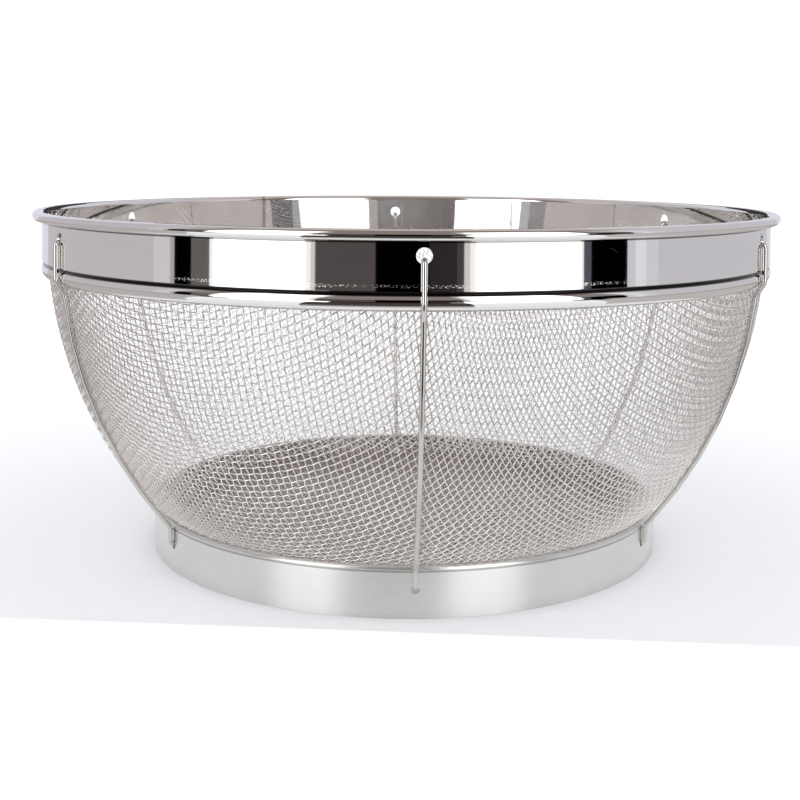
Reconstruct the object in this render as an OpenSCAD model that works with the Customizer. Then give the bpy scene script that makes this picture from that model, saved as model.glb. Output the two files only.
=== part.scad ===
// Kitchen basket strainer: a woven wire bowl held between a rolled sheet rim band and a
// round base ring, tied together by six bent wire ribs. Millimetres, Z up, base on Z = 0,
// the bowl's axis on the Z axis and the first rib on the -Y side.

/* [Whole part] */
// Outside diameter over the rolled rim
rim_d = 280; // [250:1:320]
// Height from the table to the top of the rim
total_h = 130.5; // [122:0.5:138]
// Thickness of the sheet the band and the base ring are bent from
sheet_t = 0.7; // [0.5:0.05:0.8]

/* [Rim band] */
// Outside diameter of the rolled bead along the top
rim_bead_d = 3.4; // [3:0.1:4]
// How much wider than high the rolled bead is, which is how far the wall leans in at its top
rim_oval = 0.75; // [0.4:0.05:0.8]
// Height of the centre of the rolled-in groove below the rim
groove_drop = 18.6; // [17.6:0.1:19]
// Radius of the groove, seen in section
groove_r = 0.6; // [0.4:0.05:0.7]
// Height of the centre of the lower bead below the rim
hem_drop = 20.8; // [20.6:0.1:21.4]
// Outside radius of the lower bead, seen in section
hem_r = 3.2; // [3:0.05:3.4]
// How far the lower bead is turned in, in degrees below level
hem_turn = 65; // [55:1:68]
// Diameter of the six rib holes in the band
rim_hole_d = 4.8; // [4.6:0.1:6]
// Height of those holes below the rim
rim_hole_drop = 7.6; // [7:0.1:8.5]

/* [Wires inside the band] */
// Core wire inside the rolled rim
rim_wire_d = 1.8; // [1.2:0.1:1.9]
// Wire ring inside the lower bead, which the edge of the mesh is held by
edge_wire_d = 1.5; // [1:0.1:1.6]

/* [Mesh bowl] */
// Thickness of the woven sheet, two wires deep
mesh_t = 0.9; // [0.6:0.1:1]
// Radius of the long curve of the wall
wall_curve = 154.2; // [146:0.2:165]
// Lean of the wall where it leaves the band, in degrees from upright
wall_top_lean = 3.5; // [2:0.1:4.5]
// Lean at which the wall turns into the lower curve
wall_low_lean = 32; // [28:0.5:34]
// Radius of the lower curve, which rests on the base ring
low_curve = 72; // [60:1:85]
// Radius of the corner between the lower curve and the flat bottom
corner_curve = 30; // [20:1:40]

/* [Base ring] */
// Height of the base ring
ring_h = 18; // [16:0.5:21]
// Outside radius of its rolled-in top edge, seen in section
shoulder_r = 1.2; // [1:0.1:1.6]
// Diameter of the six rib holes in the ring
ring_hole_d = 3; // [2.8:0.1:4]
// Height of those holes above the table
ring_hole_z = 10.1; // [9:0.1:11]

/* [Rib wires] */
// Diameter of the rib wire
rib_d = 1.8; // [1.4:0.1:1.9]
// Lean at which a rib leaves the bowl for the ring, in degrees from upright
rib_low_lean = 38.5; // [36:0.5:40]
// Length of the straight end that hangs down inside the band
rib_end_top = 6.4; // [4:0.1:6.6]
// Length of the straight end that stands up inside the base ring
rib_end_low = 3; // [1.5:0.1:3.5]

/* [Node] */

/* [Hidden] */
$fn = 96;
ribs = 6;
fit = 0.05;          // clearance between parts that lie against each other
rib_fit = 0.1;       // clearance between a rib and the mesh
seam = 0.15;         // open seam under the rolled rim
lap = 0.15;          // how far pieces of one wire or sheet run into each other
inset = 0.04;        // how much smaller a piece is than the one it runs into
wire_fn = 32;

// Band, in section. The wall leans in from the groove to the rolled rim.
rim_r = rim_d / 2;
rim_bead_r = rim_bead_d / 2;
bead_z = total_h - rim_bead_r;
wall_in = rim_r - rim_bead_d;
wall_out = wall_in + sheet_t;
wall_top = wall_in - rim_oval;
groove_z = total_h - groove_drop;
wall_foot_z = groove_z + groove_r + sheet_t + 0.05;
hem_z = total_h - hem_drop;
hem_c = wall_out + 0.3 - hem_r;
lip_z = hem_z - hem_r * sin(hem_turn);

// Mesh, in section: the middle of the sheet runs along three arcs. Leans are degrees from
// upright, and an arc's point at a lean is its centre plus its radius times out(lean).
function out(lean) = [cos(lean), -sin(lean)];
mesh_lip_r = hem_c + 0.2;
mesh_top_z = groove_z - 0.6;
wall_c = [mesh_lip_r, lip_z] - wall_curve * out(wall_top_lean);
mesh_top_lean = asin((wall_c[1] - mesh_top_z) / wall_curve);
low_c = wall_c + (wall_curve - low_curve) * out(wall_low_lean);
seat = mesh_t / 2 + fit + shoulder_r;
shoulder_z = ring_h - shoulder_r;
seat_lean = asin((low_c[1] - shoulder_z) / (low_curve + seat));
corner_c = low_c + (low_curve - corner_curve) * out(seat_lean);
floor_z = corner_c[1] - corner_curve;

// Base ring
shoulder_c = low_c[0] + (low_curve + seat) * cos(seat_lean);
ring_r = shoulder_c + shoulder_r;

// Edge wire, lying in the lower bead and clear of the mesh
edge_c = hem_c + hem_r - sheet_t - fit - edge_wire_d / 2;

// Rib. It hooks over the lower side of a rim hole, leans against the band, bends in under
// the lower bead, follows the bowl, passes the ring and hooks in through a ring hole.
leg_lean = atan(rim_oval / (bead_z - wall_foot_z));
hook_r = sheet_t / 2 + rib_d / 2 + 0.3;
hook_z = total_h - rim_hole_drop - rim_hole_d / 2 - 0.45;
over_hem = hem_r + rib_d / 2 + 0.15;
leg_run = (hook_z - hem_z - (over_hem - hook_r) * sin(leg_lean)) / cos(leg_lean);
hook_c = hem_c + (over_hem - hook_r) * cos(leg_lean) - leg_run * sin(leg_lean);
follow_c = wall_curve + mesh_t / 2 + rib_fit + rib_d / 2;
follow_lean = wall_top_lean + 1.2;
back_r = 2.5;
back_c = wall_c + (follow_c + back_r) * out(follow_lean);
reach = back_c - [hem_c, hem_z];
slant = sqrt(reach * reach - pow(over_hem + back_r, 2));
hem_lean = atan2(-reach[1], reach[0]) - atan2(slant, over_hem + back_r);
ring_leg_r = ring_r + 0.2 + rib_d / 2;
knee_r = 3;
leave = wall_c + follow_c * out(rib_low_lean);
knee_run = (leave[0] - ring_leg_r - knee_r * (1 - cos(rib_low_lean))) / sin(rib_low_lean);
knee_z = leave[1] - knee_run * cos(rib_low_lean) - knee_r * sin(rib_low_lean);
low_hook_r = 1.5;
low_hook_z = ring_hole_z + ring_hole_d / 2 - rib_d / 2 - 0.2;

// Each step is a straight length, then a bend's radius and angle.
rib_path = [
    [rib_end_top, hook_r, 180],
    [leg_run, over_hem, hem_lean + leg_lean],
    [slant, back_r, follow_lean - hem_lean],
    [0, follow_c, rib_low_lean - follow_lean],
    [knee_run, knee_r, -rib_low_lean],
    [knee_z - low_hook_z - low_hook_r, low_hook_r, 90],
    [0.4, low_hook_r, 90],
    [rib_end_low, 0, 0]
];

// A strip of thickness t along an arc from lean a to lean b, in section, run on by a length
module arc_strip(c, r, t, from, to, run_on = 0) {
    far = 2 * r;
    a = from - run_on / r * 180 / PI;
    b = to + run_on / r * 180 / PI;
    intersection() {
        translate(c) difference() {
            circle(r = r + t / 2);
            circle(r = r - t / 2);
        }
        polygon([c, c + far * out(a), c + far * out((a + b) / 2), c + far * out(b)]);
    }
}

// Six radial holes of diameter d at height z, through a wall at radius r
module rib_holes(d, r, z) {
    for (i = [0 : ribs - 1])
        rotate([0, 0, 60 * i - 90]) translate([r - 4, 0, z])
            rotate([0, 90, 0]) cylinder(d = d, h = 8);
}

// Wire along the steps of a path, upwards from the origin and bending towards +X
module wire_along(path, d, i = 0) {
    run = path[i][0];
    r = path[i][1];
    a = abs(path[i][2]);
    start = i == 0 ? 0 : lap;
    end = i + 1 < len(path) ? lap : 0;
    translate([0, 0, -start]) cylinder(d = d + 2 * inset, h = start + run + end, $fn = wire_fn);
    if (a > 0) translate([0, 0, run]) rotate([0, 0, path[i][2] > 0 ? 0 : 180]) {
        translate([r, 0, 0]) rotate([90, 0, 0]) rotate([0, 0, 180 - a])
            rotate_extrude(angle = a) translate([r, 0]) circle(d = d, $fn = wire_fn);
        if (i + 1 < len(path))
            translate([r * (1 - cos(a)), 0, r * sin(a)]) rotate([0, a, 0])
                rotate([0, 0, path[i][2] > 0 ? 0 : 180]) wire_along(path, d, i + 1);
    }
}

// The rolled rim's section, filled out to a radius
module rim_bead(r) for (c = [wall_in, wall_top]) translate([c + rim_bead_r, bead_z]) circle(r = r);

// Polished band: rolled rim, leaning wall, groove and turned-in lower bead
module rim_band() color([0.80, 0.80, 0.82]) difference() {
    rotate_extrude() difference() {
        union() {
            difference() {
                rim_bead(rim_bead_r);
                rim_bead(rim_bead_r - sheet_t);
            }
            polygon([[wall_in, groove_z + groove_r], [wall_out, groove_z + groove_r],
                     [wall_out, wall_foot_z], [wall_top + sheet_t, bead_z],
                     [wall_top, bead_z], [wall_in, wall_foot_z]]);
            arc_strip([wall_out, groove_z], groove_r + sheet_t / 2, sheet_t, 90, 270);
            arc_strip([hem_c, hem_z], hem_r - sheet_t / 2, sheet_t, -32, hem_turn);
        }
        translate([wall_out, groove_z]) circle(r = groove_r);
        translate([wall_top + sheet_t + 0.1, total_h - rim_bead_d - 0.1])
            square([seam, rim_bead_d / 2]);
    }
    rib_holes(rim_hole_d, wall_in, total_h - rim_hole_drop);
}

// Wire the rim is rolled around
module rim_core_wire() color([0.62, 0.62, 0.64])
    rotate_extrude() translate([wall_in + rim_bead_r, total_h - rim_bead_r])
        circle(d = rim_wire_d, $fn = wire_fn);

// Wire ring inside the lower bead
module mesh_edge_ring() color([0.62, 0.62, 0.64])
    rotate_extrude() translate([edge_c, hem_z]) circle(d = edge_wire_d, $fn = wire_fn);

// Envelope of the woven sheet: wall, lower curve, corner and flat bottom
module mesh_bowl() color([0.70, 0.69, 0.67]) rotate_extrude() {
    arc_strip(wall_c, wall_curve, mesh_t, mesh_top_lean, wall_low_lean);
    arc_strip(low_c, low_curve, mesh_t - inset, wall_low_lean, seat_lean, lap);
    arc_strip(corner_c, corner_curve, mesh_t, seat_lean, 90);
    translate([0, floor_z - (mesh_t - inset) / 2]) square([corner_c[0] + lap, mesh_t - inset]);
}

// Base ring: an upright hoop with its top edge rolled in under the bowl
module base_ring() color([0.74, 0.74, 0.74]) difference() {
    rotate_extrude() {
        translate([ring_r - sheet_t, 0]) square([sheet_t, shoulder_z]);
        arc_strip([shoulder_c, shoulder_z], shoulder_r - sheet_t / 2, sheet_t, -150, 0);
    }
    rib_holes(ring_hole_d, ring_r, ring_hole_z);
}

module rib(i) color([0.84, 0.83, 0.80])
    rotate([0, 0, 60 * (i - 1) - 90]) translate([hook_c, 0, hook_z]) rotate([0, -leg_lean, 0])
        translate([-hook_r, 0, -rib_end_top]) wire_along(rib_path, rib_d);

module rib_1() rib(1);
module rib_2() rib(2);
module rib_3() rib(3);
module rib_4() rib(4);
module rib_5() rib(5);
module rib_6() rib(6);

rim_band();
rim_core_wire();
mesh_edge_ring();
mesh_bowl();
base_ring();
rib_1();
rib_2();
rib_3();
rib_4();
rib_5();
rib_6();
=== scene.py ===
"""Kitchen basket strainer: a woven wire bowl in a rolled rim band, on a base ring, with six bent wire ribs.

Sizes are millimetres in the part's frame: Z up along the bowl's axis, the foot on Z = 0, the first rib
towards -Y. A section is drawn in (radius, height), and a lean is an angle from upright.
"""

import math

import bpy
import numpy as np
from mathutils import Matrix, Vector


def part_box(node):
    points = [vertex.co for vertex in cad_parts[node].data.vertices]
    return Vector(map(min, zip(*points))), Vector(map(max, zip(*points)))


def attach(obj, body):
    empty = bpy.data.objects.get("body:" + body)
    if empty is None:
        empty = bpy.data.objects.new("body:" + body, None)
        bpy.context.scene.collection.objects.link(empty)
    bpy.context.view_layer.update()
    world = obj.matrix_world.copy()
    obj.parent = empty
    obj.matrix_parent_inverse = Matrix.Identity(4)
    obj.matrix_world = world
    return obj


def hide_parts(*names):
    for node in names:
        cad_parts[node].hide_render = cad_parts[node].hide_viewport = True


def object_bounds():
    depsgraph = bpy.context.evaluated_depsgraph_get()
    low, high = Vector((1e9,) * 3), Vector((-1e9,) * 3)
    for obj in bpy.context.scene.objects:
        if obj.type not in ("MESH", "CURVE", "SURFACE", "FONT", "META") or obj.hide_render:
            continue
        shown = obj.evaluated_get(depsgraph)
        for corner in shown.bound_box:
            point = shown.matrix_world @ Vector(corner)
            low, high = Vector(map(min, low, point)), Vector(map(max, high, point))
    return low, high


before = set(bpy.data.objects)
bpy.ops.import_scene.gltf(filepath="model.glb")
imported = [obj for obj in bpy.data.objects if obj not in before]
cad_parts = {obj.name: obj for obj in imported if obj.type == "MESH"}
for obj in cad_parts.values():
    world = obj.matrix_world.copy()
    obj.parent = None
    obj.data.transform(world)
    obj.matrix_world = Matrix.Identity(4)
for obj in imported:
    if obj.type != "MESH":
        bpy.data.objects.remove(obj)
cad_low, cad_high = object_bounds()

MM = 0.001

# ---------------------------------------------------------------- sizes, in mm
TOTAL_H = cad_high.z / MM
RIM_R = cad_high.x / MM
RING_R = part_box("base_ring")[1].x / MM
SHEET = 0.7
RIBS = 6

# rim band
RIM_BEAD_R = 1.7
RIM_OVAL = 0.75  # how much wider than high the rolled rim is: the wall leans in by that at its top
RIM_CURL_END = 122  # degrees below level, where the rolled rim comes back to the wall
HEM_DROP = 20.8
HEM_R = 3.2
HEM_TURN = 65
HEM_START = 42  # degrees above level, where the groove turns into the lower bead
GROOVE_EDGE_R = 0.3
GROOVE_R = 0.5
GROOVE_Z = TOTAL_H - 18.5
SCUFF_Z = GROOVE_Z + 2.2
# height of the painted shade line right under the rolled rim
UNDER_RIM_SHADE_Z = TOTAL_H - 3.7
RIM_HOLE_R = 2.4
RIM_HOLE_Z = TOTAL_H - 7.6

# base ring
RING_H = 18
SHOULDER_R = 1.2
# height of the painted shade line just under the rounded shoulder
SHOULDER_SHADE_LINE_Z = 16.3
RING_HOLE_R = 1.5
RING_HOLE_Z = 10.1

# mesh bowl
MESH_T = 0.9
MESH_PITCH = 2.4
MESH_WIRE_D = 0.45
MESH_SIDES = 6
MESH_PIECES = 5  # objects for the wires of each direction
NET_CELLS = 100  # from the middle along each axis: past the top of the bowl
NET_PASSES, NET_MISS = 12, 0.05
MESH_TOP_Z = TOTAL_H - 18.6 - 0.6
WALL_CURVE, LOW_CURVE, CORNER_CURVE = 154.2, 72, 30
WALL_TOP_LEAN, WALL_LOW_LEAN = math.radians(3.5), math.radians(32)
WARP_AZIMUTH = math.radians(-34.2)  # from -Y towards +X
# where the wires' painted light and shade change, as parts of the whole height
PAINTED_BOTTOM_SHADE_END, PAINTED_WALL_SHADING_START = 0.092, 0.115
PAINTED_LOW_LIGHT_END, PAINTED_HIGH_SHADE_START = 0.36, 0.54

# rib wires
RIB_D = 1.8
RIB_SIDES = 24
RIB_LOW_LEAN = math.radians(38.5)
RIB_END_TOP, RIB_END_LOW = 6.4, 3
BACK_R, KNEE_R, LOW_HOOK_R = 2.5, 3, 1.5
WALL_DROP = 15.55  # from the middle of the rolled rim to the foot of the band's wall
LEG_LEAN = math.atan(RIM_OVAL / WALL_DROP)  # the same as the band's wall
HOOK_GAP, HOOK_DROP, HEM_GAP = 0.3, 0.45, 0.15  # off the wall, below the hole's edge, off the lower bead
FOLLOW_GAP, FOLLOW_LEAN_ADD = 0.1, math.radians(1.2)  # off the mesh, and how far below its top it meets it
RING_GAP, LOW_HOOK_GAP, LOW_HOOK_RUN = 0.2, 0.2, 0.4


def out(lean):
    """Direction in section of a lean: outwards at 0, downwards at a quarter turn."""
    return np.array([math.cos(lean), -math.sin(lean)])


# ---------------------------------------------------------------- derived sections
wall_in = RIM_R - 2 * RIM_BEAD_R
wall_out = wall_in + SHEET
hem_z = TOTAL_H - HEM_DROP
hem_c = wall_out + 0.3 - HEM_R
lip_z = hem_z - HEM_R * math.sin(math.radians(HEM_TURN))
wall_c = np.array([hem_c + 0.2, lip_z]) - WALL_CURVE * out(WALL_TOP_LEAN)
low_c = wall_c + (WALL_CURVE - LOW_CURVE) * out(WALL_LOW_LEAN)
seat = MESH_T / 2 + 0.05 + SHOULDER_R
shoulder_z = RING_H - SHOULDER_R
seat_lean = math.asin((low_c[1] - shoulder_z) / (LOW_CURVE + seat))
corner_c = low_c + (LOW_CURVE - CORNER_CURVE) * out(seat_lean)
floor_z = corner_c[1] - CORNER_CURVE


# ---------------------------------------------------------------- paths and meshes
def trace(start, heading, steps, fine=6.0):
    """Points and headings along steps of (straight length, bend radius, bend in degrees to the left)."""
    point, a = np.array(start, float), math.radians(heading)
    points, headings = [point], [a]
    for run, radius, bend in steps:
        if run > 0:
            point = point + run * np.array([math.cos(a), math.sin(a)])
            points.append(point)
            headings.append(a)
        if bend:
            side = math.copysign(1, bend)
            centre = point + side * radius * np.array([-math.sin(a), math.cos(a)])
            parts = max(1, math.ceil(abs(bend) / fine))
            for _ in range(parts):
                a += math.radians(bend) / parts
                point = centre - side * radius * np.array([-math.sin(a), math.cos(a)])
                points.append(point)
                headings.append(a)
    return np.array(points), np.array(headings)


def add_mesh(name, verts_mm, faces, material, normals=None, flat_faces=()):
    """A smooth mesh object in metres; normals are one per face corner, where the averaged ones won't do."""
    mesh = bpy.data.meshes.new(name)
    mesh.from_pydata((np.asarray(verts_mm) * MM).tolist(), [], faces)
    mesh.polygons.foreach_set("use_smooth", np.ones(len(mesh.polygons), bool))
    for f in flat_faces:
        mesh.polygons[f].use_smooth = False
    if normals is not None:
        mesh.normals_split_custom_set(np.asarray(normals).tolist())
    mesh.materials.append(material)
    piece = bpy.data.objects.new(name, mesh)
    bpy.context.scene.collection.objects.link(piece)
    return piece


def lathe_sheet(name, path, headings, steps, material, hole=None):
    """Bent sheet turned round the axis: both faces, its two edges and, if asked, holes through the wall.

    hole is (rows, radius, height): the five path rows of the wall that the hole's patch covers.
    """
    left = np.stack([-np.sin(headings), np.cos(headings)], 1)
    turn = np.arange(steps) * 2 * math.pi / steps
    sides = [(path + left * SHEET / 2, left), (path - left * SHEET / 2, -left)]
    verts, faces, normals = [], [], []

    def ring_point(r, z, a):
        return (r * math.cos(a), r * math.sin(a), z)

    def put(corners, corner_normals):
        faces.append(corners)
        normals.extend(corner_normals)

    for section, _ in sides:
        for r, z in section:
            verts.extend(ring_point(r, z, a) for a in turn)
    rows = len(path)

    def index(side, row, column):
        return (side * rows + row) * steps + column % steps

    def normal(side, row, a):
        nr, nz = sides[side][1][row]
        return (nr * math.cos(a), nr * math.sin(a), nz)

    reach = 2
    first_row = hole[0][0] if hole else 0
    hole_columns = [steps * k // RIBS - steps // 4 for k in range(RIBS)] if hole else []
    open_cells = {(first_row + row, (c + d) % steps)
                  for c in hole_columns for d in range(-reach, reach) for row in range(4)}

    for side in (0, 1):
        for row in range(rows - 1):
            for c in range(steps):
                if (row, c) in open_cells:
                    continue
                quad = [(row, c), (row, c + 1), (row + 1, c + 1), (row + 1, c)]
                if side == 0:
                    quad.reverse()
                put([index(side, r, k) for r, k in quad],
                    [normal(side, r, k * 2 * math.pi / steps) for r, k in quad])

    for row, facing in ((0, -1), (rows - 1, 1)):
        for c in range(steps):
            quad = [(0, c), (1, c), (1, c + 1), (0, c + 1)]
            if facing == -1:
                quad.reverse()
            h = headings[row]
            put([index(s, row, k) for s, k in quad],
                [(facing * math.cos(h) * math.cos(k * 2 * math.pi / steps),
                  facing * math.cos(h) * math.sin(k * 2 * math.pi / steps),
                  facing * math.sin(h)) for _, k in quad])

    for middle in hole_columns:
        _, hole_r, hole_z = hole
        centre_a = middle * 2 * math.pi / steps
        down = 1 if path[first_row][1] > path[first_row + 4][1] else -1
        border = ([(2 + k, reach) for k in (0, -1)] + [(0, reach - k) for k in range(4)]
                  + [(k, -reach) for k in range(4)] + [(4, -reach + k) for k in range(4)]
                  + [(4 - k, reach) for k in range(2)])
        if down == -1:
            border = [(4 - row, column) for row, column in border]
        bore = []
        for side in (0, 1):
            wall_rows = sides[side][0][first_row:first_row + 5]
            order = np.argsort(wall_rows[:, 1])
            start = len(verts)
            bore.append(start)
            around = 2 * len(border)
            angles = []
            for k in range(around):
                b = 2 * math.pi * k / around
                z = hole_z + hole_r * math.sin(b)
                wall_r = np.interp(z, wall_rows[order, 1], wall_rows[order, 0])
                a = centre_a + math.asin(hole_r * math.cos(b) / wall_r)
                angles.append(a)
                verts.append(ring_point(wall_r, z, a))
            face_out, face_up = sides[side][1][first_row + 2]

            def facing_wall(a):
                return (face_out * math.cos(a), face_out * math.sin(a), face_up)

            for k in range(len(border)):
                near, far = border[k], border[(k + 1) % len(border)]
                ends = [(index(side, first_row + row, middle + column),
                         centre_a + column * 2 * math.pi / steps) for row, column in (near, far)]
                ring = [(start + n % around, angles[n % around]) for n in (2 * k, 2 * k + 1, 2 * k + 2)]
                for tri in ((ends[0], ends[1], ring[1]), (ends[0], ring[1], ring[0]),
                            (ends[1], ring[2], ring[1])):
                    tri = list(tri) if face_out > 0 else list(tri)[::-1]
                    put([v for v, _ in tri], [facing_wall(a) for _, a in tri])
        inner, outer = bore if sides[0][0][first_row][0] < sides[1][0][first_row][0] else bore[::-1]
        for k in range(around):
            n = (k + 1) % around
            quad = [(outer + k, k), (outer + n, n), (inner + n, n), (inner + k, k)]
            put([v for v, _ in quad],
                [(math.cos(2 * math.pi * q / around) * math.sin(centre_a),
                  -math.cos(2 * math.pi * q / around) * math.cos(centre_a),
                  -math.sin(2 * math.pi * q / around)) for _, q in quad])
    return add_mesh(name, verts, faces, material, normals)


def tube(points, ups, diameter, sides):
    """Vertices and quads of a round wire through points; ups keep its sides from twisting."""
    ahead = np.gradient(points, axis=0)
    ahead /= np.linalg.norm(ahead, axis=1, keepdims=True)
    side = np.cross(ahead, ups)
    side /= np.linalg.norm(side, axis=1, keepdims=True)
    up = np.cross(side, ahead)
    a = np.arange(sides) * 2 * math.pi / sides
    ring = np.cos(a)[None, :, None] * side[:, None] + np.sin(a)[None, :, None] * up[:, None]
    verts = (points[:, None] + ring * diameter / 2).reshape(-1, 3)
    row, k = np.meshgrid(np.arange(len(points) - 1), np.arange(sides), indexing="ij")
    row, k = row.ravel() * sides, k.ravel()
    n = (k + 1) % sides
    quads = np.stack([row + sides + k, row + sides + n, row + n, row + k], 1)
    ends = [list(range(sides)), list(range(len(verts) - sides, len(verts)))[::-1]]
    return verts, quads, ends


# ---------------------------------------------------------------- the bowl's middle surface
ARCS = ((wall_c, WALL_CURVE), (low_c, LOW_CURVE), (corner_c, CORNER_CURVE))


def bowl_point(s):
    """(radius, height) at length s along the bowl from its middle."""
    if s <= corner_c[0]:
        return s, floor_z
    s -= corner_c[0]
    for (centre, r), start, end in zip(ARCS[::-1], (math.pi / 2, seat_lean, WALL_LOW_LEAN),
                                       (seat_lean, WALL_LOW_LEAN, -1)):
        if s <= r * (start - end):
            return tuple(centre + r * out(start - s / r))
        s -= r * (start - end)


def bowl_offset(points):
    """How far points are outside the bowl's middle surface, and the way out of it."""
    r = np.hypot(points[:, 0], points[:, 1]) + 1e-9
    z = points[:, 2]
    lean = [np.arctan2(c[1] - z, r - c[0]) for c, _ in ARCS]
    region = np.where(r <= corner_c[0], 3, np.where(lean[2] >= seat_lean, 2,
                                                    np.where(lean[1] >= WALL_LOW_LEAN, 1, 0)))
    centre_r = np.choose(region, [c[0] for c, _ in ARCS] + [0.0])
    centre_z = np.choose(region, [c[1] for c, _ in ARCS] + [0.0])
    radius = np.choose(region, [float(q) for _, q in ARCS] + [1.0])
    dr, dz = r - centre_r, z - centre_z
    far = np.hypot(dr, dz)
    flat = region == 3
    offset = np.where(flat, floor_z - z, far - radius)
    nr, nz = np.where(flat, 0.0, dr / far), np.where(flat, -1.0, dz / far)
    return offset, np.stack([nr * points[:, 0] / r, nr * points[:, 1] / r, nz], 1)


def woven_net(pitch, count):
    """Crossings of a square cloth pressed into the bowl: the cells keep their sides and only shear.

    One quarter, whose first row and column run straight up the bowl; the rest mirrors it.
    """
    net = np.full((count, count, 3), np.nan)
    for i in range(count):
        r, z = bowl_point(i * pitch)
        net[i, 0] = (r, 0, z)
        net[0, i] = (0, r, z)
    past_top = MESH_TOP_Z + 3 * pitch
    for diagonal in range(2, 2 * count - 1):
        i = np.arange(max(1, diagonal - count + 1), min(count - 1, diagonal - 1) + 1)
        j = diagonal - i
        a, b, c = net[i - 1, j], net[i, j - 1], net[i - 1, j - 1]
        known = np.isfinite(a + b + c).all(1)
        known &= np.minimum(a[:, 2], b[:, 2]) < past_top
        if not known.any():
            continue
        i, j, a, b, c = i[known], j[known], a[known], b[known], c[known]
        x = a + b - c
        for _ in range(NET_PASSES):
            offset, normal = bowl_offset(x)
            wrong = np.stack([((x - a) ** 2).sum(1) - pitch**2, ((x - b) ** 2).sum(1) - pitch**2,
                              offset * pitch], 1)
            slopes = np.stack([2 * (x - a), 2 * (x - b), normal * pitch], 1)
            x = x - np.clip(np.linalg.solve(slopes, wrong[..., None])[..., 0], -pitch, pitch)
        offset, _ = bowl_offset(x)
        missed = (np.abs(offset) > NET_MISS) | (np.abs(np.linalg.norm(x - a, axis=1) - pitch) > NET_MISS)
        x[missed] = np.nan
        net[i, j] = x
    return net


def weave_wires(net, along):
    """Centre lines of the wires that run along net axis 0 or 1, each with the bowl's way out as its ups."""
    count = len(net)
    steps = np.arange(-count + 1, count)
    turn = np.array([[math.sin(WARP_AZIMUTH), -math.cos(WARP_AZIMUTH), 0],
                     [math.cos(WARP_AZIMUTH), math.sin(WARP_AZIMUTH), 0], [0, 0, 1]])
    parts = np.array([0.0, 0.3, 0.7])
    swing = np.cos(parts * math.pi) * MESH_WIRE_D / 2
    wires = []
    for k in steps:
        other = np.full(len(steps), abs(k))
        i, j = (np.abs(steps), other) if along == 0 else (other, np.abs(steps))
        line = net[i, j].copy()
        mirror = np.sign(steps) if along == 0 else np.full(len(steps), np.sign(k))
        line[:, 0] *= np.where(mirror == 0, 1, mirror)
        mirror = np.full(len(steps), np.sign(k)) if along == 0 else np.sign(steps)
        line[:, 1] *= np.where(mirror == 0, 1, mirror)
        good = np.isfinite(line).all(1)
        if good.sum() < 3:
            continue
        numbers = steps[good]
        line = line[good]
        middle = line[:, 0] ** 2 + line[:, 1] ** 2
        if line[int(np.argmin(middle)), 2] >= MESH_TOP_Z:
            continue
        over = np.where((numbers + k) % 2 == 0, 1.0, -1.0) * (1 if along == 0 else -1)
        _, normal = bowl_offset(line)
        t = parts[None, :, None]
        base = (line[:-1, None] * (1 - t) + line[1:, None] * t).reshape(-1, 3)
        ups = (normal[:-1, None] * (1 - t) + normal[1:, None] * t).reshape(-1, 3)
        lift = (over[:-1, None] * swing[None]).reshape(-1)
        path = np.vstack([base + ups * lift[:, None], line[-1] + normal[-1] * over[-1] * MESH_WIRE_D / 2])
        ups = np.vstack([ups, normal[-1:]])
        inside = np.flatnonzero(np.append(base[:, 2], line[-1, 2]) < MESH_TOP_Z)
        if len(inside) < 3:
            continue
        first, last = max(inside[0] - 1, 0), min(inside[-1] + 1, len(path) - 1)
        path, ups = path[first:last + 1], ups[first:last + 1]
        wires.append((path @ turn, ups @ turn))
    return wires


def add_wires(name, wires, diameter, sides, material, pieces):
    """The wires as that many objects, with about the same length of wire in each."""
    total = sum(len(path) for path, _ in wires)
    verts, faces, flat, done, made = [], [], [], 0, []
    count = 0
    for n, (path, ups) in enumerate(wires):
        v, quads, ends = tube(path, ups, diameter, sides)
        faces.extend((quads + count).tolist())
        flat.extend((len(faces), len(faces) + 1))
        faces.extend([[x + count for x in end] for end in ends])
        verts.append(v)
        count += len(v)
        done += len(path)
        if done >= total * (len(made) + 1) / pieces or n == len(wires) - 1:
            made.append(add_mesh(f"{name}_{len(made) + 1}", np.vstack(verts), faces, material,
                                 flat_faces=flat))
            verts, faces, flat, count = [], [], [], 0
    return made


# ---------------------------------------------------------------- materials
def node_of(tree, kind, inputs=None, **settings):
    node = tree.nodes.new(kind)
    for key, value in settings.items():
        setattr(node, key, value)
    for key, value in (inputs or {}).items():
        if isinstance(value, bpy.types.NodeSocket):
            tree.links.new(value, node.inputs[key])
        else:
            node.inputs[key].default_value = value
    return node


def maths(tree, operation, a, b=0.0):
    return node_of(tree, "ShaderNodeMath", {0: a, 1: b}, operation=operation).outputs[0]


def ramp(tree, factor, stops):
    """Colours between (position, grey or colour) stops."""
    node = node_of(tree, "ShaderNodeValToRGB", {"Fac": factor})
    while len(node.color_ramp.elements) < len(stops):
        node.color_ramp.elements.new(1.0)
    for element, (position, colour) in zip(node.color_ramp.elements, stops):
        element.position = position
        element.color = (*colour, 1) if isinstance(colour, tuple) else (colour, colour, colour, 1)
    return node.outputs["Color"]


def steel(name, colour, roughness):
    material = bpy.data.materials.new(name)
    material.use_nodes = True
    tree = material.node_tree
    shader = tree.nodes["Principled BSDF"]
    shader.inputs["Metallic"].default_value = 1.0
    shader.inputs["Base Color"].default_value = (*colour, 1)
    shader.inputs["Roughness"].default_value = roughness
    return material, tree, shader


TURNED_R = 130  # about the radius of the turned pieces


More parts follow.
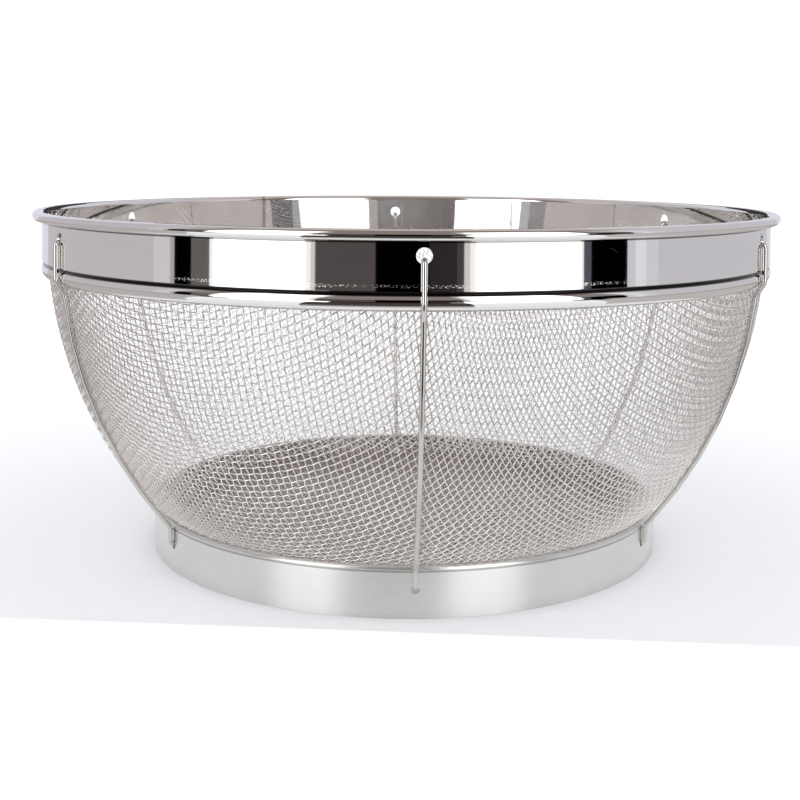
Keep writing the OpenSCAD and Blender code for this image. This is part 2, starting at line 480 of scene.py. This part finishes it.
def round_the_axis(tree):
    """Texture place on a turned piece: length round it and height in metres, and the angle."""
    place = node_of(tree, "ShaderNodeTexCoord").outputs["Object"]
    split = node_of(tree, "ShaderNodeSeparateXYZ", {0: place})
    angle = maths(tree, "ARCTAN2", split.outputs[1], split.outputs[0])
    around = maths(tree, "MULTIPLY", angle, TURNED_R * MM)
    return node_of(tree, "ShaderNodeCombineXYZ", {0: around, 1: split.outputs[2]}).outputs[0], angle


def stretched_noise(tree, place, scale, detail=3.0, distortion=0.0):
    """Noise with its own scale along each axis, per metre."""
    moved = node_of(tree, "ShaderNodeVectorMath", {0: place, 1: scale}, operation="MULTIPLY").outputs[0]
    return node_of(tree, "ShaderNodeTexNoise", {"Vector": moved, "Scale": 1.0, "Detail": detail,
                                                "Distortion": distortion}).outputs["Fac"]


def mixed(tree, factor, a, b):
    """Colour a where the factor is 0 and b where it is 1."""
    return node_of(tree, "ShaderNodeMix", {0: factor, 6: a, 7: b}, data_type="RGBA").outputs[2]


def away_from_axis(tree):
    """The way from the axis to a point, level, as long as the point is far from it."""
    place = node_of(tree, "ShaderNodeTexCoord").outputs["Object"]
    return node_of(tree, "ShaderNodeVectorMath", {0: place, 1: (1, 1, 0)}, operation="MULTIPLY").outputs[0]


def reach_over(tree, radius_mm):
    """1 further from the axis than a radius, 0 nearer."""
    away = away_from_axis(tree)
    reach = node_of(tree, "ShaderNodeVectorMath", {0: away}, operation="LENGTH").outputs["Value"]
    return maths(tree, "GREATER_THAN", reach, radius_mm * MM)


def near_height(tree, place, height_mm, half_mm):
    """1 at a height on a turned piece, falling to 0 at half_mm above and below it."""
    height = node_of(tree, "ShaderNodeSeparateXYZ", {0: place}).outputs[1]
    away = maths(tree, "ABSOLUTE", maths(tree, "SUBTRACT", height, height_mm * MM))
    return ramp(tree, maths(tree, "DIVIDE", away, half_mm * MM), ((0.6, 1.0), (1.0, 0.0)))


def polished_steel(name, colour, roughness, seam_at):
    """Mirror-polished sheet: polishing lines, a few long scratches, a weld seam, painted shade in the
    groove and a scuffed line just above it, and a painted shade line under the rolled rim."""
    material, tree, shader = steel(name, colour, roughness)
    place, angle = round_the_axis(tree)
    cloud = stretched_noise(tree, place, (18, 60, 1))
    lines = stretched_noise(tree, place, (25, 5000, 1), 2.0)
    turned = node_of(tree, "ShaderNodeMapping", {"Vector": place, "Rotation": (0, 0, 0.5)})
    scratch_place = turned.outputs[0]
    scratches = ramp(tree, stretched_noise(tree, scratch_place, (60, 1800, 1), 1.0, 0.2),
                     ((0.0, 0.0), (0.74, 0.0), (0.8, 1.0)))
    specks = ramp(tree, stretched_noise(tree, place, (1500, 2200, 1), 4.0), ((0.48, 0.0), (0.66, 1.0)))
    patches = ramp(tree, stretched_noise(tree, place, (30, 1, 1), 1.0), ((0.42, 0.25), (0.5, 1.0)))
    scuffs = maths(tree, "MULTIPLY", maths(tree, "MULTIPLY", specks, patches),
                   near_height(tree, place, SCUFF_Z, 0.6))
    seam = ramp(tree, maths(tree, "ABSOLUTE", maths(tree, "SUBTRACT", angle, seam_at)),
                ((0.0, 1.0), (0.004, 0.6), (0.009, 0.0)))
    tint = ramp(tree, cloud, ((0.3, tuple(0.965 * c for c in colour)), (0.7, colour)))
    tint = mixed(tree, seam, tint, (0.42, 0.36, 0.31, 1))
    # painted shade line right under the rolled rim, on the outside of the wall
    under_rim_shade = maths(tree, "MULTIPLY", near_height(tree, place, UNDER_RIM_SHADE_Z, 0.4),
                     reach_over(tree, wall_in - 0.3))
    tint = mixed(tree, under_rim_shade, tint, (0.2, 0.18, 0.17, 1))
    # painted shade in the groove: the band is painted nearly black there
    tint = mixed(tree, near_height(tree, place, GROOVE_Z, 0.9), tint, (0.03, 0.027, 0.025, 1))
    tree.links.new(tint, shader.inputs["Base Color"])
    rough = maths(tree, "ADD", maths(tree, "MULTIPLY", scratches, 0.12),
                  maths(tree, "MULTIPLY", scuffs, 0.4))
    tree.links.new(maths(tree, "ADD", rough, roughness), shader.inputs["Roughness"])
    height = maths(tree, "ADD", maths(tree, "MULTIPLY", lines, 0.15),
                   maths(tree, "MULTIPLY", scratches, -0.6))
    bump = node_of(tree, "ShaderNodeBump", {"Height": height, "Distance": 2e-6, "Strength": 1.0})
    tree.links.new(bump.outputs[0], shader.inputs["Normal"])
    return material


def satin_steel(name, colour, roughness):
    """Satin sheet brushed round the ring, with painted shade on its inside below the shoulder and a painted
    shade line just under the shoulder.
    """
    material, tree, shader = steel(name, colour, roughness)
    shader.inputs["Anisotropic"].default_value = 0.85
    shader.inputs["Anisotropic Rotation"].default_value = 0.25
    place, _ = round_the_axis(tree)
    cloud = stretched_noise(tree, place, (30, 80, 1))
    lines = stretched_noise(tree, place, (12, 7000, 1), 4.0)
    tint = ramp(tree, cloud, ((0.3, tuple(0.95 * c for c in colour)), (0.7, colour)))
    # painted shade on the inside of the ring, below the shoulder
    height = node_of(tree, "ShaderNodeSeparateXYZ", {0: place}).outputs[1]
    seen = maths(tree, "MAXIMUM", reach_over(tree, RING_R - SHEET / 2),
                 maths(tree, "GREATER_THAN", height, shoulder_z * MM))
    tint = mixed(tree, seen, (0.36, 0.31, 0.27, 1), tint)
    # painted shade line just under the shoulder, darkening its highlight
    tint = mixed(tree, near_height(tree, place, SHOULDER_SHADE_LINE_Z, 0.45), tint, (0.42, 0.42, 0.41, 1))
    tree.links.new(tint, shader.inputs["Base Color"])
    tree.links.new(ramp(tree, lines, ((0.3, roughness - 0.05), (0.7, roughness + 0.05))),
                   shader.inputs["Roughness"])
    bump = node_of(tree, "ShaderNodeBump", {"Height": lines, "Distance": 3e-6, "Strength": 1.0})
    tree.links.new(bump.outputs[0], shader.inputs["Normal"])
    return material


def wire_steel(name, colour, roughness, scale):
    """Bright drawn wire with a slightly uneven tint."""
    material, tree, shader = steel(name, colour, roughness)
    place = node_of(tree, "ShaderNodeTexCoord").outputs["Object"]
    cloud = stretched_noise(tree, place, (scale,) * 3)
    tree.links.new(ramp(tree, cloud, ((0.35, tuple(0.9 * c for c in colour)), (0.65, colour))),
                   shader.inputs["Base Color"])
    return material


def woven_steel_with_painted_light(name, inner, outer, lit_low_outer, bottom, roughness):
    """Fine drawn wire with light and shade painted on by where it is: painted light on the sides that face
    into the bowl, painted shade on the sides that face out, less of it low on the bowl, and painted
    shade on the bottom."""
    material, tree, shader = steel(name, inner, roughness)
    place = node_of(tree, "ShaderNodeTexCoord").outputs["Object"]
    away = away_from_axis(tree)
    way_out = node_of(tree, "ShaderNodeVectorMath", {0: away}, operation="NORMALIZE").outputs[0]
    normal = node_of(tree, "ShaderNodeNewGeometry").outputs["Normal"]
    facing = node_of(tree, "ShaderNodeVectorMath", {0: normal, 1: way_out}, operation="DOT_PRODUCT")
    # painted shade on the sides facing out of the bowl, painted light on the sides facing into it
    outwards = ramp(tree, maths(tree, "ADD", facing.outputs["Value"], 0.5), ((0.3, 0.0), (0.7, 1.0)))
    height = node_of(tree, "ShaderNodeSeparateXYZ", {0: place}).outputs[2]
    up_the_bowl = maths(tree, "DIVIDE", height, TOTAL_H * MM)
    # the painted shade on the outward sides is lighter low on the bowl than high on it
    outer_painted_shade = ramp(tree, up_the_bowl, ((PAINTED_LOW_LIGHT_END, lit_low_outer), (PAINTED_HIGH_SHADE_START, outer)))
    tint = mixed(tree, outwards, (*inner, 1), outer_painted_shade)
    # painted shade on the bottom of the bowl
    above_bottom_shade = ramp(tree, up_the_bowl, ((PAINTED_BOTTOM_SHADE_END, 0.0), (PAINTED_WALL_SHADING_START, 1.0)))
    tint = mixed(tree, above_bottom_shade, (*bottom, 1), tint)
    cloud = ramp(tree, stretched_noise(tree, place, (90,) * 3), ((0.35, 0.93), (0.65, 1.0)))
    product = node_of(tree, "ShaderNodeMix", {0: 1.0, 6: tint, 7: cloud}, data_type="RGBA",
                      blend_type="MULTIPLY").outputs[2]
    tree.links.new(product, shader.inputs["Base Color"])
    return material


def glowing(name, level):
    material = bpy.data.materials.new(name)
    material.use_nodes = True
    shader = material.node_tree.nodes["Principled BSDF"]
    shader.inputs["Base Color"].default_value = (0, 0, 0, 1)
    shader.inputs["Specular IOR Level"].default_value = 0
    shader.inputs["Emission Color"].default_value = (*level, 1)
    shader.inputs["Emission Strength"].default_value = 1.0
    return material


band_steel = polished_steel("polished band steel", (0.83, 0.82, 0.81), 0.035, math.radians(118))
ring_steel = satin_steel("satin ring steel", (0.79, 0.79, 0.765), 0.32)
rib_steel = wire_steel("rib wire steel", (0.66, 0.64, 0.605), 0.12, 60)
# woven wire colours: painted light facing in, painted shade facing out high and low, painted shade on the
# bottom
weave_steel_painted = woven_steel_with_painted_light("woven wire steel with painted light and shade", (1.0, 0.985, 0.97), (0.73, 0.705, 0.68), (0.93, 0.90, 0.87),
                          (0.56, 0.51, 0.465), 0.13)
hidden_steel = wire_steel("inner wire steel", (0.62, 0.61, 0.60), 0.35, 60)


# ---------------------------------------------------------------- band and ring
def own(piece, node):
    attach(piece, "root")
    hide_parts(node)


TURN_STEPS = 480
HOLE_PAD = math.pi * 2 * wall_out / TURN_STEPS * 2


def band_path():
    """The band's middle line: rolled rim, leaning wall, groove and turned-in lower bead."""
    mid_r = wall_in + SHEET / 2
    curl_r = RIM_BEAD_R - SHEET / 2
    bead_z = TOTAL_H - RIM_BEAD_R
    bead_r = HEM_R - SHEET / 2
    bead_start = math.radians(HEM_START)
    # the turn into the groove that lets it run into the lower bead without a kink
    gap = mid_r - hem_c - bead_r * math.cos(bead_start)
    dip_across = GROOVE_EDGE_R + GROOVE_R * math.cos(bead_start) - gap
    dip = math.acos(dip_across / (GROOVE_EDGE_R + GROOVE_R))
    wall_end = (hem_z + bead_r * math.sin(bead_start) + GROOVE_EDGE_R * math.sin(dip)
                + GROOVE_R * (math.sin(dip) + math.sin(bead_start)))
    start = math.radians(-RIM_CURL_END)
    rows_from = RIM_HOLE_Z + HOLE_PAD
    lean = math.atan(RIM_OVAL / (bead_z - wall_end))
    turn, down = math.degrees(lean), 1 / math.cos(lean)
    steps = [(0, curl_r, RIM_CURL_END - 90), (RIM_OVAL, curl_r, 180), (RIM_OVAL, curl_r, 90 + turn),
             ((bead_z - curl_r * math.sin(lean) - rows_from) * down, 0, 0)]
    steps += [(HOLE_PAD / 2 * down, 0, 0)] * 4
    steps += [((RIM_HOLE_Z - HOLE_PAD - wall_end) * down, GROOVE_EDGE_R, -math.degrees(dip) - turn),
              (0, GROOVE_R, math.degrees(dip) + HEM_START),
              (0, bead_r, -HEM_START - HEM_TURN)]
    origin = (mid_r - RIM_OVAL + curl_r + curl_r * math.cos(start), bead_z + curl_r * math.sin(start))
    path, headings = trace(origin, -RIM_CURL_END + 90, steps, 7.0)
    rows = [k for k in range(len(path)) if abs(path[k][1] - rows_from) < 1e-6 and path[k][0] < mid_r]
    return path, headings, rows[0]


band_line, band_headings, band_row = band_path()
rim_band = lathe_sheet("rim_band_sheet", band_line, band_headings, TURN_STEPS, band_steel,
                       (range(band_row, band_row + 5), RIM_HOLE_R, RIM_HOLE_Z))
own(rim_band, "rim_band")


def ring_path():
    mid_r = RING_R - SHEET / 2
    pad = HOLE_PAD * RING_R / wall_out
    steps = [(RING_HOLE_Z - pad, 0, 0)] + [(pad / 2, 0, 0)] * 4
    steps += [(shoulder_z - RING_HOLE_Z - pad, SHOULDER_R - SHEET / 2, 150)]
    return trace((mid_r, 0), 90, steps, 10.0)


ring_line, ring_headings = ring_path()
base_ring = lathe_sheet("base_ring_sheet", ring_line, ring_headings, TURN_STEPS, ring_steel,
                        (range(1, 6), RING_HOLE_R, RING_HOLE_Z))
own(base_ring, "base_ring")


# ---------------------------------------------------------------- ribs
def rib_line():
    """The rib's centre line in section, from its end inside the band to its end inside the base ring."""
    hook_r = SHEET / 2 + RIB_D / 2 + HOOK_GAP
    hook_z = RIM_HOLE_Z - RIM_HOLE_R - HOOK_DROP
    over_hem = HEM_R + RIB_D / 2 + HEM_GAP
    leg_run = (hook_z - hem_z - (over_hem - hook_r) * math.sin(LEG_LEAN)) / math.cos(LEG_LEAN)
    hook_c = hem_c + (over_hem - hook_r) * math.cos(LEG_LEAN) - leg_run * math.sin(LEG_LEAN)
    down = np.array([math.sin(LEG_LEAN), -math.cos(LEG_LEAN)])
    across = np.array([math.cos(LEG_LEAN), math.sin(LEG_LEAN)])
    follow_c = WALL_CURVE + MESH_T / 2 + FOLLOW_GAP + RIB_D / 2
    follow_lean = WALL_TOP_LEAN + FOLLOW_LEAN_ADD
    reach = wall_c + (follow_c + BACK_R) * out(follow_lean) - np.array([hem_c, hem_z])
    slant = math.sqrt(reach @ reach - (over_hem + BACK_R) ** 2)
    hem_lean = math.atan2(-reach[1], reach[0]) - math.atan2(slant, over_hem + BACK_R)
    ring_leg_r = RING_R + RING_GAP + RIB_D / 2
    leave = wall_c + follow_c * out(RIB_LOW_LEAN)
    lean = RIB_LOW_LEAN
    knee_run = (leave[0] - ring_leg_r - KNEE_R * (1 - math.cos(lean))) / math.sin(lean)
    knee_z = leave[1] - knee_run * math.cos(lean) - KNEE_R * math.sin(lean)
    low_hook_z = RING_HOLE_Z + RING_HOLE_R - RIB_D / 2 - LOW_HOOK_GAP
    degrees = math.degrees
    steps = [(RIB_END_TOP, hook_r, -180), (leg_run, over_hem, -degrees(hem_lean + LEG_LEAN)),
             (slant, BACK_R, degrees(hem_lean - follow_lean)),
             (0, follow_c, degrees(follow_lean - lean)), (knee_run, KNEE_R, degrees(lean)),
             (knee_z - low_hook_z - LOW_HOOK_R, LOW_HOOK_R, -90), (LOW_HOOK_RUN, LOW_HOOK_R, -90),
             (RIB_END_LOW, 0, 0)]
    start = np.array([hook_c, hook_z]) - across * hook_r + down * RIB_END_TOP
    return trace(start, 90 + degrees(LEG_LEAN), steps)


rib_points, _ = rib_line()
for number in range(1, RIBS + 1):
    angle = math.radians(360 / RIBS * (number - 1) - 90)
    path = np.stack([rib_points[:, 0] * math.cos(angle), rib_points[:, 0] * math.sin(angle),
                     rib_points[:, 1]], 1)
    across = np.tile([-math.sin(angle), math.cos(angle), 0.0], (len(path), 1))
    verts, quads, ends = tube(path, across, RIB_D, RIB_SIDES)
    rib = add_mesh(f"rib_wire_{number}", verts, quads.tolist() + ends, rib_steel,
                   flat_faces=(len(quads), len(quads) + 1))
    own(rib, f"rib_{number}")

# ---------------------------------------------------------------- woven bowl
net = woven_net(MESH_PITCH, NET_CELLS)
for along, label in ((0, "warp_wires"), (1, "weft_wires")):
    wires = weave_wires(net, along)
    for piece in add_wires(label, wires, MESH_WIRE_D, MESH_SIDES, weave_steel_painted, MESH_PIECES):
        own(piece, "mesh_bowl")

for node in ("rim_core_wire", "mesh_edge_ring"):
    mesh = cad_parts[node].data
    mesh.materials.clear()
    mesh.materials.append(hidden_steel)

# ---------------------------------------------------------------- studio
world = bpy.data.worlds.new("white studio")
bpy.context.scene.world = world
world.use_nodes = True
world.node_tree.nodes["Background"].inputs[0].default_value = (1, 1, 1, 1)
world.node_tree.nodes["Background"].inputs[1].default_value = 1.0
bpy.context.scene.view_settings.view_transform = "Standard"

FLOOR_HALF = 4000
FLOOR_Z = -0.05
FLOOR_COLOUR = (0.85, 0.862, 0.895, 1)
# (distance from the axis, added painted light)
FLOOR_PAINTED_LIGHT = ((99, 0.0), (103, 0.13), (150, 0.115), (365, 0.2), (565, 0.22), (900, 0.3))


def white_floor():
    """Pale floor with painted light that gets brighter away from the part, none under the bowl, so that it
    has no horizon.
    """
    paint = bpy.data.materials.new("white floor")
    paint.use_nodes = True
    tree = paint.node_tree
    shader = tree.nodes["Principled BSDF"]
    shader.inputs["Base Color"].default_value = FLOOR_COLOUR
    shader.inputs["Roughness"].default_value = 0.9
    shader.inputs["Specular IOR Level"].default_value = 0.0
    place = node_of(tree, "ShaderNodeTexCoord").outputs["Object"]
    reach = node_of(tree, "ShaderNodeVectorMath", {0: place}, operation="LENGTH").outputs["Value"]
    painted_light = ramp(tree, reach, tuple((r * MM, level) for r, level in FLOOR_PAINTED_LIGHT))
    tree.links.new(painted_light, shader.inputs["Emission Color"])
    shader.inputs["Emission Strength"].default_value = 1.0
    corners = [(x * FLOOR_HALF, y * FLOOR_HALF, FLOOR_Z) for x, y in ((-1, -1), (1, -1), (1, 1), (-1, 1))]
    return add_mesh("floor", corners, [[0, 1, 2, 3]], paint)


white_floor()

# The pale sheet under the basket ends just in front of it, at a slant; past its edge everything is white.
SHEET_EDGE_Y, SHEET_EDGE_SLOPE = -111.9, -0.1157
WHITE_Z = -0.02


def sheet_edge(x):
    return SHEET_EDGE_Y + SHEET_EDGE_SLOPE * x


# The room round the part, seen only in its polished steel: upright cards, (from, to) azimuths in degrees
# from -Y towards +X, a ceiling, and cards on the floor that show in the inside of the far band.
ROOM_R, CEILING_Z, LOW_Z = 1100, 1400, 390
LOW = ((ROOM_R, 0.5), (ROOM_R, LOW_Z))
HIGH = ((ROOM_R, LOW_Z), (ROOM_R, CEILING_Z))
TALL = ((ROOM_R, 0.5), (ROOM_R, CEILING_Z))
BACK_LOW, BACK_HIGH = ((ROOM_R, 0.5), (ROOM_R, 700)), ((ROOM_R, 700), (ROOM_R, CEILING_Z))
NEAREST, NEAR, FAR = ((195, 0.5), (240, 0.5)), ((240, 0.5), (560, 0.5)), ((560, 0.5), (ROOM_R, 0.5))
CEILING = ((0, CEILING_Z), (ROOM_R, CEILING_Z))
BLACK, WARM_GREY, SOFTBOX = (0.0, 0.0, 0.0), (0.27, 0.235, 0.22), (2.6, 2.6, 2.6)
CARDS = (
    ("left_far", -166, -139, TALL, (0.76, 0.77, 0.86)),
    ("left_wall", -139, -76, TALL, (0.58, 0.555, 0.59)),
    ("left_strip", -76, -70, TALL, (0.70, 0.66, 0.71)),
    ("left_strip_edge", -70, -68.5, TALL, (0.45, 0.43, 0.45)),
    ("left_black", -68.5, -62.8, LOW, BLACK),
    ("left_dark", -62.8, -56.9, LOW, (0.14, 0.13, 0.125)),
    ("left_upper", -68.5, -56.9, HIGH, WARM_GREY),
    ("left_softbox_edge", -56.9, -55.7, TALL, (1.05, 1.05, 1.1)),
    ("left_softbox", -55.7, -29.0, TALL, SOFTBOX),
    ("left_softbox_fade", -29.0, -27.5, TALL, (1.1, 1.08, 1.04)),
    ("left_softbox_end", -27.5, -26.3, TALL, (0.74, 0.70, 0.65)),
    ("front_dark", -26.3, -10.2, LOW, (0.088, 0.078, 0.077)),
    ("front_black", -10.2, 4.0, LOW, BLACK),
    ("front_right", 4.0, 11.3, LOW, (0.028, 0.024, 0.029)),
    ("front_edge", 11.3, 13.2, LOW, (0.06, 0.058, 0.065)),
    ("front_upper", -26.3, 13.2, HIGH, WARM_GREY),
    ("right_softbox_start", 13.2, 14.8, TALL, (0.72, 0.69, 0.66)),
    ("right_softbox_fade", 14.8, 16.4, TALL, (1.08, 1.06, 1.04)),
    ("right_softbox", 16.4, 45.8, TALL, SOFTBOX),
    ("right_softbox_edge", 45.8, 46.7, TALL, (1.05, 1.05, 1.1)),
    ("right_dark", 46.7, 49.0, LOW, (0.09, 0.095, 0.11)),
    ("right_black", 49.0, 60.6, LOW, BLACK),
    ("right_upper", 46.7, 60.6, HIGH, WARM_GREY),
    ("right_strip_start", 60.6, 63.4, TALL, (0.68, 0.67, 0.71)),
    ("right_strip", 63.4, 67.0, TALL, (0.84, 0.83, 0.88)),
    ("right_strip_end", 67.0, 71.5, TALL, (0.71, 0.70, 0.74)),
    ("right_wall", 71.5, 139, TALL, (0.625, 0.61, 0.65)),
    ("right_far", 139, 166, TALL, (0.74, 0.74, 0.82)),
    ("back", 166, 194, BACK_LOW, (0.05, 0.045, 0.04)),
    ("back_upper", 166, 194, BACK_HIGH, (0.8, 0.75, 0.73)),
    ("ceiling_front", -90, 90, CEILING, WARM_GREY),
    ("ceiling_back", 90, 270, CEILING, (0.6, 0.53, 0.5)),
    ("floor_left", -166, -59.1, FAR, (0.48, 0.43, 0.41)),
    ("floor_left_dark", -59.1, -52.5, FAR, (0.08, 0.07, 0.065)),
    ("floor_left_edge", -52.5, -48.7, FAR, (0.42, 0.42, 0.44)),
    ("floor_left_softbox", -48.7, -22.0, FAR, SOFTBOX),
    ("floor_front", -22.0, 9.3, FAR, (0.03, 0.015, 0.01)),
    ("floor_right_fade", 9.3, 12.9, FAR, (0.38, 0.35, 0.33)),
    ("floor_right_softbox", 12.9, 41.0, FAR, SOFTBOX),
    ("floor_right_edge", 41.0, 43.9, FAR, (0.3, 0.32, 0.36)),
    ("floor_right_dark", 43.9, 52.9, FAR, BLACK),
    ("floor_right", 52.9, 166, FAR, (0.48, 0.42, 0.40)),
    ("near_left", -166, -56.9, NEAR, (0.52, 0.50, 0.50)),
    ("near_front", -26.3, 13.2, NEAR, (0.06, 0.055, 0.05)),
    ("near_right", 46.7, 166, NEAR, (0.56, 0.54, 0.54)),
    ("nearest_left", -166, -56.9, NEAREST, (0.56, 0.53, 0.52)),
    ("nearest_front", -26.3, 13.2, NEAREST, (0.36, 0.33, 0.31)),
    ("nearest_right", 46.7, 166, NEAREST, (0.56, 0.53, 0.52)),
)
for label, start, end, section, level in CARDS:
    columns = max(1, math.ceil((end - start) / 4)) + 1
    angles = np.radians(np.linspace(start, end, columns))
    verts = [(r * math.sin(a), -r * math.cos(a), z) for r, z in section for a in angles]
    faces = [[k, k + 1, k + columns + 1, k + columns] for row in range(len(section) - 1)
             for k in range(row * columns, (row + 1) * columns - 1)]
    card = add_mesh(f"room_{label}", verts, faces, glowing(f"room {label}", level))
    card.visible_camera = card.visible_diffuse = card.visible_shadow = False
    card.visible_transmission = False

front = [(-FLOOR_HALF, -FLOOR_HALF, WHITE_Z), (FLOOR_HALF, -FLOOR_HALF, WHITE_Z),
         (FLOOR_HALF, sheet_edge(FLOOR_HALF), WHITE_Z), (-FLOOR_HALF, sheet_edge(-FLOOR_HALF), WHITE_Z)]
white_front = add_mesh("white_front", front, [[0, 1, 2, 3]], glowing("white front", (1.0, 1.0, 1.0)))
white_front.visible_diffuse = white_front.visible_glossy = white_front.visible_shadow = False
white_front.visible_transmission = False

# ---------------------------------------------------------------- camera
CAMERA_DISTANCE = 495.4
CAMERA_HEIGHT = 151.65
CAMERA_AZIMUTH = math.radians(2.23)
CAMERA_YAW = math.radians(0.223)
CAMERA_PITCH = 0.194
CAMERA_ROLL = 0.006
camera_data = bpy.data.cameras.new("camera")
camera_data.lens = 56.68
camera_data.sensor_width = 36
camera_data.clip_start = 0.01
camera = bpy.data.objects.new("camera", camera_data)
bpy.context.scene.collection.objects.link(camera)
heading = CAMERA_AZIMUTH - CAMERA_YAW
level = math.cos(CAMERA_PITCH)
ahead = Vector((math.sin(heading) * level, math.cos(heading) * level, -math.sin(CAMERA_PITCH)))
right = Vector((math.cos(heading), -math.sin(heading), 0))
up = right.cross(ahead)
rolled_right = math.cos(CAMERA_ROLL) * right + math.sin(CAMERA_ROLL) * up
rolled_up = -math.sin(CAMERA_ROLL) * right + math.cos(CAMERA_ROLL) * up
place = MM * Vector((-CAMERA_DISTANCE * math.sin(CAMERA_AZIMUTH),
                     -CAMERA_DISTANCE * math.cos(CAMERA_AZIMUTH), CAMERA_HEIGHT))
turned = Matrix((rolled_right, rolled_up, -ahead)).transposed().to_4x4()
camera.matrix_world = Matrix.Translation(place) @ turned
bpy.context.scene.camera = camera
